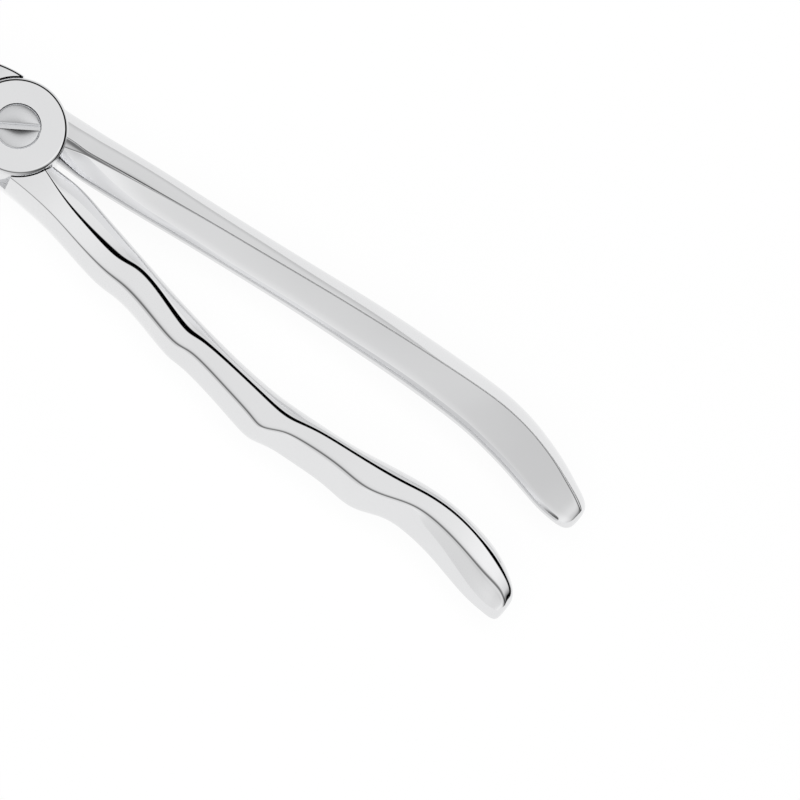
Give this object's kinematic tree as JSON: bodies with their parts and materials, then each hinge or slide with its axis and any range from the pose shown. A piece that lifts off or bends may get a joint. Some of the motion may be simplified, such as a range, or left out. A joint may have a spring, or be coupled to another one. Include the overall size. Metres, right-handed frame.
{
  "type": "dental extraction forceps",
  "caption": "Hand forceps with two crossed forged halves on a slotted screw, a smooth palm handle, a waved finger handle and straight hollow grooved beaks.",
  "frame": {"origin": "on the surface that the forceps lie on, where the joint screw's axis meets it", "axes": "+X along the beaks, so the handles run to -X; +Z along the joint screw's axis, from the surface that the forceps lie on to the screw's head; +Y on the waved finger handle's side"},
  "size_m": [0.1766, 0.0371, 0.013],
  "materials": {
    "polished_steel": "stainless steel, mirror polished by hand",
    "screw_steel": "stainless steel, turned and lightly polished"
  },
  "bodies": {
    "finger_side": {"finger_half": "polished_steel", "joint_screw": "screw_steel"},
    "palm_side": {"palm_half": "polished_steel"}
  },
  "joints": [
    {"name": "forceps_joint", "type": "hinge", "parent": "finger_side", "child": "palm_side", "pos_m": [0, 0, 0.0065], "axis": [0, 0, 1], "range_deg": [-2.5, 28]}
  ]
}
